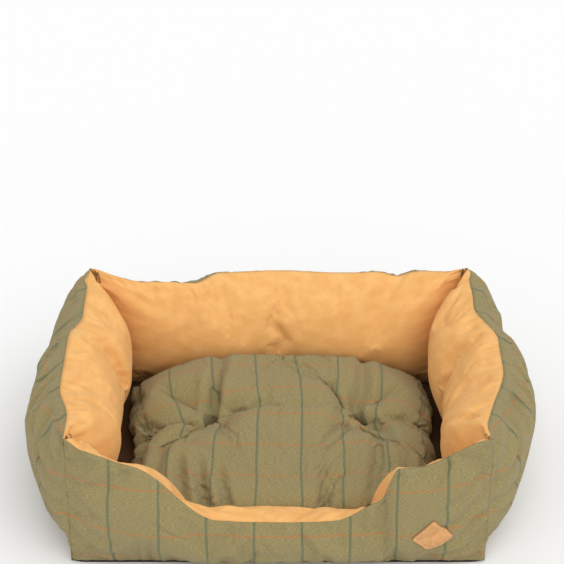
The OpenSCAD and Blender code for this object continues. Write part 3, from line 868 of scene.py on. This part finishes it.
class Zip:
    """Where a zip lies. Its own x runs the way its slider closes, y across the tape, and z out of it."""

    def __init__(self, name, run, swing, width):
        joints = {joint["name"]: joint for joint in frame["joints"]}
        x, y = Vector(joints[run]["axis"]), -Vector(joints[swing]["axis"])
        self.name, self.width = name, width
        self.turn = np.array((x, y, x.cross(y))).T
        low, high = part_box(name + "_zip_tape")
        self.at = np.array((low + high) / 2) - self.turn[:, 2] * ZIP_TAPE_THICK / 2
        self.length = high.x - low.x
        low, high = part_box(name + "_zip_coil")
        self.teeth = high.x - low.x

    def place(self, local):
        """Points of the zip's own frame, in the bed's."""
        return self.at + local @ self.turn.T

    def shaped(self, piece, rule):
        """Moves a panel's points along the zip's z, to where a rule of their places puts them."""
        local = (points_of(piece.data) - self.at) @ self.turn
        local[:, 2] = rule(local)
        piece.data.vertices.foreach_set("co", self.place(local).astype(np.float32).ravel())
        piece.data.update()

    def flatten(self, piece):
        """Presses a panel flat under the tape, and lets it rise again beside it."""
        def rule(local):
            aside = np.hypot(np.maximum(0, np.abs(local[:, 0]) - self.length / 2) * 0.8,
                             np.maximum(0, np.abs(local[:, 1]) - self.width / 2))
            free = np.maximum(smooth(aside / 0.028), smooth((np.abs(local[:, 2]) - 0.05) / 0.03))
            return (local[:, 2] + 0.0004) * free - 0.0004
        self.shaped(piece, rule)

    def kept_clear(self, piece, gap):
        """Presses back a panel that faces the zip, so that it leaves a gap for the pull to swing in."""
        def rule(local):
            away = np.maximum(smooth((np.abs(local[:, 0]) - self.length / 2) / 0.03),
                              smooth((np.abs(local[:, 1]) - self.width / 2) / 0.03))
            return np.maximum(local[:, 2], gap - 0.06 * away)
        self.shaped(piece, rule)

    def tape(self):
        a, b = spread(int(self.length / 0.002), 13)
        x, y = a * self.length / 2, b * self.width / 2
        z = 0.00012 * ripple(x, ((37, 0.3, 1.0), (91, 1.2, 0.6))) * (np.abs(y) / (self.width / 2)) ** 4
        grid = self.place(np.stack([x, y, z], -1))
        piece = merged(self.name + "_zip_tape_woven", [grid], [np.stack([x, y], -1)])
        thickened(piece, ZIP_TAPE_THICK * 0.85, 0.0002)
        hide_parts(self.name + "_zip_tape")
        return piece

    def coil(self):
        """Two spirals of filament whose loops lock together along the middle of the tape."""
        pitch, per_turn = 0.0015, 10
        wide, high, wire = 0.00105, 0.00055, 0.00034  # half a loop's width and height, its wire's radius
        aside, above = 0.00075, 0.00088               # a spiral's middle, from the tape's middle and top
        turns = int(self.teeth / pitch) - 1
        phase = np.arange(turns * per_turn) / per_turn
        runs = []
        for side in (-1, 1):
            angle = 2 * math.pi * phase + (0 if side > 0 else math.pi)
            x = phase * pitch - turns * pitch / 2
            y = side * (aside + wide * np.cos(angle))
            z = ZIP_TAPE_THICK + above + high * np.sin(angle)
            runs.append(self.place(np.stack([x, y, z], -1)))
        piece = tubes(self.name + "_zip_coil_wound", runs, wire, 5)
        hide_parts(self.name + "_zip_coil")
        return piece

    def stitches(self):
        """A row of stitches along each side of the tape."""
        pitch, half, margin = 0.0036, 0.00115, 0.0014
        count = int(self.length / pitch)
        runs = []
        for side in (-1, 1):
            for k in range(count):
                x = (k + 0.5) / count * self.length - self.length / 2
                y = side * (self.width / 2 - margin)
                local = [(x + f * half, y, ZIP_TAPE_THICK + 0.0001 - 0.0003 * f * f)
                         for f in (-1, -0.5, 0, 0.5, 1)]
                runs.append(self.place(np.array(local)))
        return tubes(self.name + "_zip_stitching", runs, 0.0003, 5)


# --- materials ----------------------------------------------------------------------------------------
def linear(red, green, blue):
    """A colour given as 0 to 255 in sRGB, as the shader's linear values."""
    def one(c):
        c /= 255
        return c / 12.92 if c <= 0.04045 else ((c + 0.055) / 1.055) ** 2.4
    return (one(red), one(green), one(blue), 1.0)


TWEED_LIGHT = linear(176, 160, 112)
TWEED_DARK = linear(138, 124, 80)
TWEED_GREEN = linear(140, 134, 96)
TWEED_DEEP = linear(104, 94, 60)
TEAL = linear(84, 108, 84)
RUST = linear(196, 120, 66)
SUEDE_LIGHT = linear(239, 185, 117)
SUEDE_DARK = linear(230, 172, 103)
SUEDE_DEEP = linear(206, 144, 80)


class Shader:
    """A node material under construction, with short calls for the nodes it needs."""

    def __init__(self, name, roughness, **inputs):
        self.material = bpy.data.materials.new(name)
        self.material.use_nodes = True
        self.tree = self.material.node_tree
        self.surface = self.tree.nodes["Principled BSDF"]
        self.surface.inputs["Roughness"].default_value = roughness
        for key, value in inputs.items():
            self.surface.inputs[key.replace("_", " ")].default_value = value

    def node(self, kind, **settings):
        made = self.tree.nodes.new(kind)
        for key, value in settings.items():
            if hasattr(made, key):
                setattr(made, key, value)
            else:
                made.inputs[key.replace("_", " ")].default_value = value
        return made

    def link(self, source, target):
        self.tree.links.new(source, target)

    def fabric(self):
        """The cloth's own coordinates in metres: u, v and both."""
        both = self.node("ShaderNodeUVMap", uv_map="fabric").outputs[0]
        split = self.node("ShaderNodeSeparateXYZ")
        self.link(both, split.inputs[0])
        return split.outputs[0], split.outputs[1], both

    def colour(self, value):
        self.link(value, self.surface.inputs["Base Color"])

    def normal(self, value):
        self.link(value, self.surface.inputs["Normal"])

    def roughness(self, value, low, high):
        """Roughness between low and high as value goes from 0 to 1."""
        self.link(self.math("MULTIPLY_ADD", value, high - low, low), self.surface.inputs["Roughness"])

    def math(self, operation, first, second=0.0, third=0.0):
        made = self.node("ShaderNodeMath", operation=operation)
        for socket, value in zip(made.inputs, (first, second, third)):
            if isinstance(value, (int, float)):
                socket.default_value = value
            else:
                self.link(value, socket)
        return made.outputs[0]

    def mix(self, factor, first, second):
        made = self.node("ShaderNodeMix", data_type="RGBA")
        for socket, value in ((made.inputs[0], factor), (made.inputs[6], first), (made.inputs[7], second)):
            if isinstance(value, (int, float, tuple)):
                socket.default_value = value
            else:
                self.link(value, socket)
        return made.outputs[2]

    def ramp(self, value, low, high):
        """0 where value is below low, 1 above high."""
        made = self.node("ShaderNodeMapRange", interpolation_type="SMOOTHSTEP")
        made.inputs["From Min"].default_value = low
        made.inputs["From Max"].default_value = high
        self.link(value, made.inputs["Value"])
        return made.outputs[0]

    def part(self, value, low, high, share):
        """0 where value is below low, share above high."""
        return self.math("MULTIPLY", self.ramp(value, low, high), share)

    def wave(self, value, pitch):
        return self.math("SINE", self.math("MULTIPLY", value, 2 * math.pi / pitch))

    def noise(self, where, scale, detail=3.0, roughness=0.55):
        made = self.node("ShaderNodeTexNoise", Scale=scale, Detail=detail, Roughness=roughness)
        self.link(where, made.inputs["Vector"])
        return made.outputs["Fac"]

    def stretched(self, where, x, y, z):
        made = self.node("ShaderNodeMapping")
        made.inputs["Scale"].default_value = (x, y, z)
        self.link(where, made.inputs["Vector"])
        return made.outputs[0]

    def bump(self, height, distance, strength=1.0, under=None):
        made = self.node("ShaderNodeBump", Distance=distance, Strength=strength)
        self.link(height, made.inputs["Height"])
        if under is not None:
            self.link(under, made.inputs["Normal"])
        return made.outputs[0]


def stripe(shader, coordinate, offset, width, edge):
    """1 on thin lines a check apart along a coordinate, 0 between them."""
    shifted = shader.math("ADD", coordinate, offset + CHECK * 50)
    beside = shader.math("PINGPONG", shifted, CHECK / 2)
    return shader.math("SUBTRACT", 1.0, shader.ramp(beside, width / 2, width / 2 + edge))


def tweed():
    """Olive tweed in a fine diagonal weave, with a windowpane check of teal and rust lines."""
    m = Shader("tweed", 0.93, Sheen_Weight=0.15, Sheen_Roughness=0.5, Specular_IOR_Level=0.15)
    u, v, fabric = m.fabric()
    pitch = 0.0014
    twill = m.wave(m.math("ADD", u, v), pitch)
    ribs = m.wave(m.math("SUBTRACT", u, v), pitch * 0.6)
    weave = m.math("MULTIPLY_ADD", twill, 0.5, m.math("MULTIPLY", ribs, 0.25))
    weft = m.noise(m.stretched(fabric, 1.0, 5.0, 1.0), 260.0, 3.0, 0.55)
    warp = m.noise(m.stretched(fabric, 5.0, 1.0, 1.0), 260.0, 3.0, 0.55)
    fleck = m.noise(fabric, 1100.0, 2.0, 0.6)
    cloud = m.noise(fabric, 11.0, 3.0, 0.5)
    body = m.mix(m.ramp(weft, 0.30, 0.70), TWEED_DARK, TWEED_LIGHT)
    body = m.mix(m.part(warp, 0.45, 0.75, 0.35), body, TWEED_GREEN)
    body = m.mix(m.part(fleck, 0.55, 0.75, 0.35), body, TWEED_DEEP)
    body = m.mix(m.part(cloud, 0.35, 0.65, 0.16), body, TWEED_GREEN)
    uneven = m.math("MULTIPLY_ADD", warp, 0.6, 0.25)
    rust = m.math("MULTIPLY", stripe(m, v, -CHECK * 0.24, 0.0016, 0.0008), uneven)
    teal = m.math("MULTIPLY", stripe(m, u, CHECK / 2, 0.0024, 0.0008), uneven)
    body = m.mix(rust, body, RUST)
    body = m.mix(m.math("MULTIPLY", teal, 1.15), body, TEAL)
    body = m.mix(m.math("MULTIPLY_ADD", weave, 0.14, 0.10), body, TWEED_DEEP)
    m.colour(body)
    m.normal(m.bump(m.math("ADD", weave, fleck), 0.00030, 0.7))
    return m.material


def suede():
    """Golden faux suede, mottled where its nap lies different ways."""
    m = Shader("suede", 0.95, Sheen_Weight=0.30, Sheen_Roughness=0.5, Specular_IOR_Level=0.12,
               Sheen_Tint=linear(255, 220, 170))
    fabric = m.fabric()[2]
    brushed = m.noise(m.stretched(fabric, 1.0, 1.5, 1.0), 40.0, 5.0, 0.55)
    streak = m.noise(m.stretched(fabric, 1.0, 3.5, 1.0), 130.0, 3.0, 0.6)
    fine = m.noise(fabric, 700.0, 3.0, 0.6)
    body = m.mix(m.ramp(brushed, 0.30, 0.72), SUEDE_DARK, SUEDE_LIGHT)
    body = m.mix(m.part(streak, 0.5, 0.8, 0.30), body, SUEDE_DARK)
    body = m.mix(m.part(fine, 0.5, 0.75, 0.25), body, SUEDE_DEEP)
    m.colour(body)
    broad = m.bump(brushed, 0.0010, 0.25)
    m.normal(m.bump(fine, 0.00022, 0.6, broad))
    return m.material


def leather():
    """Tan leather with a fine pebbled grain, darker and smoother along its cut edges."""
    m = Shader("leather", 0.55, Specular_IOR_Level=0.35)
    u, v, fabric = m.fabric()
    pebbles = m.node("ShaderNodeTexVoronoi", feature="SMOOTH_F1", Scale=900.0, Smoothness=0.6)
    m.link(fabric, pebbles.inputs["Vector"])
    grain = pebbles.outputs["Distance"]
    worn = m.noise(fabric, 110.0, 4.0, 0.6)
    half = PATCH_SIDE / 2
    edge = m.math("MAXIMUM", m.math("ABSOLUTE", u), m.math("ABSOLUTE", v))
    body = m.mix(m.ramp(worn, 0.35, 0.68), linear(196, 140, 84), linear(214, 160, 104))
    body = m.mix(m.part(grain, 0.25, 0.75, 0.18), body, linear(224, 176, 122))
    rim = m.part(edge, half - 0.0012, half - 0.0002, 0.55)
    body = m.mix(rim, body, linear(150, 92, 48))
    m.colour(body)
    m.roughness(worn, 0.42, 0.66)
    broad = m.bump(worn, 0.0004, 0.25)
    m.normal(m.bump(grain, 0.00018, 0.6, broad))
    return m.material


def thread(name, dark, light):
    """Two strands twisted together."""
    m = Shader(name, 0.8, Sheen_Weight=0.1, Specular_IOR_Level=0.25)
    u, v, fabric = m.fabric()
    strands = m.wave(m.math("MULTIPLY_ADD", v, 0.9, u), 0.0011)
    fuzz = m.noise(fabric, 2200.0, 2.0, 0.6)
    shade = m.math("MULTIPLY_ADD", strands, 0.35, fuzz)
    m.colour(m.mix(m.ramp(shade, 0.1, 0.9), dark, light))
    m.normal(m.bump(shade, 0.00015, 0.8))
    return m.material


def zip_tape():
    """Olive tape in a herringbone weave, with a cord woven along each edge."""
    m = Shader("zip_tape", 0.85, Sheen_Weight=0.08, Specular_IOR_Level=0.2)
    u, v, fabric = m.fabric()
    zigzag = m.math("PINGPONG", m.math("ADD", v, 1.0), 0.0012)
    bones = m.wave(m.math("ADD", u, zigzag), 0.0009)
    wear = m.noise(fabric, 380.0, 3.0, 0.6)
    body = m.mix(m.ramp(bones, -0.8, 0.8), linear(98, 92, 56), linear(122, 114, 74))
    body = m.mix(m.part(wear, 0.5, 0.8, 0.4), body, linear(86, 80, 48))
    m.colour(body)
    m.normal(m.bump(m.math("ADD", bones, m.math("MULTIPLY", wear, 0.6)), 0.00014, 0.8))
    return m.material


def zip_coil():
    """Moulded plastic filament."""
    m = Shader("zip_coil", 0.38, Specular_IOR_Level=0.45)
    fabric = m.fabric()[2]
    scuff = m.noise(fabric, 420.0, 3.0, 0.6)
    m.colour(m.mix(m.ramp(scuff, 0.4, 0.75), linear(122, 112, 72), linear(146, 136, 94)))
    m.roughness(scuff, 0.30, 0.52)
    m.normal(m.bump(scuff, 0.00005, 0.5))
    return m.material


def brass():
    """Antique brass: dark in its finish, rubbed bright in places."""
    m = Shader("zip_metal", 0.36, Metallic=1.0)
    where = m.node("ShaderNodeTexCoord").outputs["Object"]
    rubbed = m.noise(where, 620.0, 4.0, 0.6)
    scratch = m.noise(m.stretched(where, 1.0, 9.0, 9.0), 700.0, 2.0, 0.5)
    m.colour(m.mix(m.ramp(rubbed, 0.38, 0.66), linear(138, 104, 60), linear(196, 160, 98)))
    m.roughness(rubbed, 0.26, 0.48)
    m.normal(m.bump(scratch, 0.00003, 0.5))
    return m.material


def base_cloth():
    """Dark woven cloth with rows of small rubber dots, the non-slip underside."""
    m = Shader("base_cloth", 0.85, Specular_IOR_Level=0.25)
    u, v, fabric = m.fabric()
    step = 0.009
    along = m.math("DIVIDE", v, step)
    odd = m.math("MULTIPLY", m.math("ROUND", along), 0.5)
    across = m.math("SUBTRACT", m.math("DIVIDE", u, step), odd)
    near_u, near_v = (m.math("SUBTRACT", value, m.math("ROUND", value)) for value in (across, along))
    squares = (m.math("MULTIPLY", near, near) for near in (near_u, near_v))
    away = m.math("SQRT", m.math("ADD", *squares))
    dots = m.math("SUBTRACT", 1.0, m.ramp(away, 0.15, 0.22))
    threads = m.math("MULTIPLY", m.wave(u, 0.0011), m.wave(v, 0.0011))
    lint = m.noise(fabric, 240.0, 4.0, 0.65)
    body = m.mix(m.ramp(threads, -0.7, 0.7), linear(50, 46, 42), linear(66, 61, 55))
    body = m.mix(m.part(lint, 0.55, 0.8, 0.4), body, linear(96, 89, 78))
    body = m.mix(m.math("MULTIPLY", dots, 0.8), body, linear(36, 34, 33))
    m.colour(body)
    weave = m.bump(m.math("MULTIPLY_ADD", lint, 0.6, threads), 0.00015, 0.7)
    m.normal(m.bump(dots, 0.0006, 0.9, weave))
    return m.material


def floor_cloth():
    """Plain dark brown cloth in an even weave; the dark brown is painted shade in the gaps by the cushion.
    """
    m = Shader("floor_cloth", 0.9, Specular_IOR_Level=0.15, Sheen_Weight=0.05)
    u, v, fabric = m.fabric()
    weave = m.math("MULTIPLY", m.wave(u, 0.0009), m.wave(v, 0.0009))
    slub = m.noise(m.stretched(fabric, 1.0, 8.0, 1.0), 160.0, 3.0, 0.6)
    # Painted shade: these dark browns stand in for the shadow in the gaps between the walls and the
    # cushion.
    body = m.mix(m.ramp(weave, -0.7, 0.7), linear(72, 50, 28), linear(94, 68, 40))
    body = m.mix(m.part(slub, 0.5, 0.75, 0.35), body, linear(112, 84, 52))
    m.colour(body)
    m.normal(m.bump(m.math("MULTIPLY_ADD", slub, 0.6, weave), 0.00012, 0.8))
    return m.material


def foam():
    """Pale open foam, full of fine pores."""
    m = Shader("foam", 0.97, Specular_IOR_Level=0.1, Subsurface_Weight=0.1)
    m.surface.inputs["Subsurface Radius"].default_value = (0.004, 0.003, 0.002)
    where = m.node("ShaderNodeTexCoord").outputs["Object"]
    pores = m.noise(where, 900.0, 4.0, 0.7)
    stain = m.noise(where, 12.0, 2.0, 0.5)
    body = m.mix(m.ramp(pores, 0.4, 0.6), linear(202, 190, 160), linear(238, 230, 206))
    m.colour(m.mix(m.part(stain, 0.4, 0.7, 0.2), body, linear(224, 206, 160)))
    m.normal(m.bump(pores, 0.0005, 0.9))
    return m.material


# --- light, floor and camera --------------------------------------------------------------------------
def sun(name, towards, angle, strength):
    lamp = bpy.data.lights.new(name, "SUN")
    lamp.energy, lamp.angle = strength, math.radians(angle)
    holder = in_scene(name, lamp)
    holder.rotation_euler = Vector(towards).to_track_quat("-Z", "Y").to_euler()


def studio():
    """A white room: a broad soft light from above and in front, and a weaker one from the right."""
    scene.view_settings.view_transform = "Standard"
    world = bpy.data.worlds.new("studio")
    scene.world = world
    world.use_nodes = True
    inputs = world.node_tree.nodes["Background"].inputs
    inputs["Color"].default_value = (1, 1, 1, 1)
    inputs["Strength"].default_value = 0.68
    sun("key", (-0.38, 0.52, -1.0), 70, 1.36)
    sun("fill", (0.25, 0.9, -0.45), 80, 0.42)
    r = 60.0
    floor = new_piece("floor", [(-r, -r, 0), (r, -r, 0), (r, r, 0), (-r, r, 0)], [(0, 1, 2, 3)])
    pale = Shader("floor", 0.9, Specular_IOR_Level=0.1)
    pale.surface.inputs["Base Color"].default_value = (0.9, 0.9, 0.9, 1)
    floor.data.materials.append(pale.material)


def camera():
    """Straight in front of the bed and looking down at it. The lens is long and shifted a little, so the
    bed's foot meets the bottom of the picture."""
    down = math.radians(33.4)
    away = 2.49
    data = bpy.data.cameras.new("camera")
    data.sensor_width = 36.0
    data.lens = 122.7
    data.shift_x, data.shift_y = 0.007, 0.1206
    holder = in_scene("camera", data)
    forward = Vector((0, math.cos(down), -math.sin(down)))
    up = Vector((0, math.sin(down), math.cos(down)))
    holder.location = Vector((0, 0, WALL_TOP)) - away * forward - 0.003 * up
    holder.rotation_euler = forward.to_track_quat("-Z", "Y").to_euler()
    scene.camera = holder


# --- assembly -----------------------------------------------------------------------------------------
def flat_cut(piece):
    """The size of a panel's flat cut from its fabric coordinates, (width, length), and the cut's area."""
    mesh = piece.data
    uv = np.empty(len(mesh.loops) * 2, np.float32)
    mesh.uv_layers["fabric"].data.foreach_get("uv", uv)
    uv = uv.reshape(-1, 4, 2)
    first, second = uv[:, 2] - uv[:, 0], uv[:, 3] - uv[:, 1]
    area = float(np.abs(first[:, 0] * second[:, 1] - first[:, 1] * second[:, 0]).sum() / 2)
    width, length = (float(x) for x in np.ptp(uv.reshape(-1, 2), axis=0))
    return (width, length), min(area, width * length)


def finished(piece, material, body):
    piece.data.materials.clear()
    piece.data.materials.append(material)
    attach(piece, body)
    return piece


def bevelled(node, material, width):
    """Rounds the edges of a CAD node that stays in view, and gives it its finish."""
    node.data.materials.clear()
    node.data.materials.append(material)
    bevel(node, width, 40).harden_normals = True


camera()
studio()

wall_zip = Zip("wall", "wall_zip_run", "wall_pull_swing", 0.022)
cushion_zip = Zip("cushion", "cushion_zip_run", "cushion_pull_swing", 0.012)

bay = bay_collider()
wall_jobs = [wall_job(wall) for wall in WALLS]
cushion_cloth, cushion_uv = cushion_job(cushion_zip)
results = simulate([job for job, _ in wall_jobs] + [cushion_cloth])
bpy.data.objects.remove(bay)

TWEED, SUEDE = tweed(), suede()
wall_panels = {}
for number, (wall, (_, uvs), faces) in enumerate(zip(WALLS, wall_jobs, results)):
    tweed_panel, suede_panel = finish_wall(wall, faces, uvs, number)
    if wall.name == "back":
        wall_zip.flatten(tweed_panel)
        cushion_zip.kept_clear(suede_panel, PULL_ROOM)
    finished(tweed_panel, TWEED, "bed")
    finished(suede_panel, SUEDE, "bed")
    flat, area = flat_cut(suede_panel)
    wall_panels[wall.name] = (tweed_panel, suede_panel)

top_panel, underside = finish_cushion(results[-1], cushion_uv)
for piece in (top_panel, underside):
    cushion_zip.flatten(piece)
finished(top_panel, TWEED, "cushion")
finished(underside, SUEDE, "cushion")
flat, area = flat_cut(underside)

patch = Patch(wall_panels["front"][0])
finished(patch.leather(), leather(), "bed")
TAN_THREAD = thread("tan_thread", linear(214, 168, 112), linear(246, 210, 160))
DARK_THREAD = thread("dark_thread", linear(104, 76, 40), linear(150, 116, 70))
OLIVE_THREAD = thread("olive_thread", linear(96, 86, 50), linear(146, 132, 88))
finished(patch.stitches(), TAN_THREAD, "bed")
all_panels = [piece for pair in wall_panels.values() for piece in pair]
finished(corner_threads(all_panels), DARK_THREAD, "bed")
for side, tuft in zip(("left", "right"), TUFTS):
    finished(tuft_thread(side, tuft, top_panel, underside), DARK_THREAD, "cushion")

base = plate("base_cloth", "base_sheet", inset=0.003, corner=0.012, cell=0.008)
finished(base, base_cloth(), "bed")
pad = plate("floor_foam", "base_pad", inset=0.0, corner=0.020, cell=0.010)
finished(pad, foam(), "bed")
# The floor's lining, seen in the gaps beside the cushion, is painted shade in dark brown.
lining = plate("floor_lining_sewn", "floor_lining", inset=-LINING_REACH, corner=0.020, cell=0.006,
               sag=0.0006, tuck=0.0095)
finished(lining, floor_cloth(), "bed")
flat_cut(base)[0]
flat_cut(lining)[0]

TAPE, COIL, BRASS = zip_tape(), zip_coil(), brass()
for zipper, body, under in ((wall_zip, "bed", "back_wall_tweed"), (cushion_zip, "cushion", "cushion_top")):
    tape = finished(zipper.tape(), TAPE, body)
    finished(zipper.coil(), COIL, body)
    finished(zipper.stitches(), OLIVE_THREAD, body)
    for part, width in (("stops", 0.0006), ("slider", 0.0003), ("pull", 0.0003)):
        bevelled(frame["nodes"][zipper.name + "_zip_" + part], BRASS, width)
